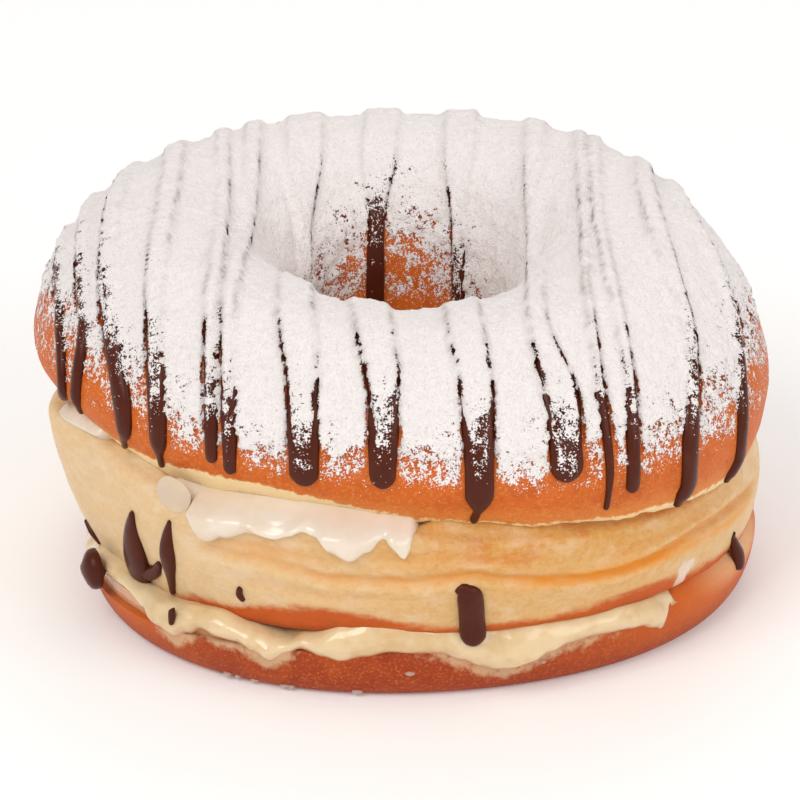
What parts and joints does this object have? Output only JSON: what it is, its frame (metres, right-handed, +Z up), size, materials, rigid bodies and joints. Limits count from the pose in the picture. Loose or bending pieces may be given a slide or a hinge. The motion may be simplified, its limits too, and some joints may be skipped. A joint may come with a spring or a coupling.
{
  "type": "filled ring doughnut",
  "caption": "Ring doughnut split in layers with cream between them, chocolate stripes across its sugared top and drips down its side.",
  "frame": {"origin": "centre of the bounding box, on the surface that the doughnut stands on", "axes": "+Z up along the hole, -Y towards the side with the most drips, +X right of that"},
  "size_m": [0.1088, 0.1046, 0.0577],
  "materials": {
    "top_crust": "fried golden-brown crust under sugar, with satin chocolate stripes",
    "white_cream": "glossy whipped cream",
    "crumb": "matt pale dough with browned patches",
    "custard_cream": "glossy pale yellow cream",
    "base_crust": "dark fried crust with fine lighter specks"
  },
  "bodies": {
    "root": {"bottom_layer": "base_crust", "lower_cream": "custard_cream", "middle_layer": "crumb", "upper_cream": "white_cream", "top_layer": "top_crust"}
  },
  "joints": []
}
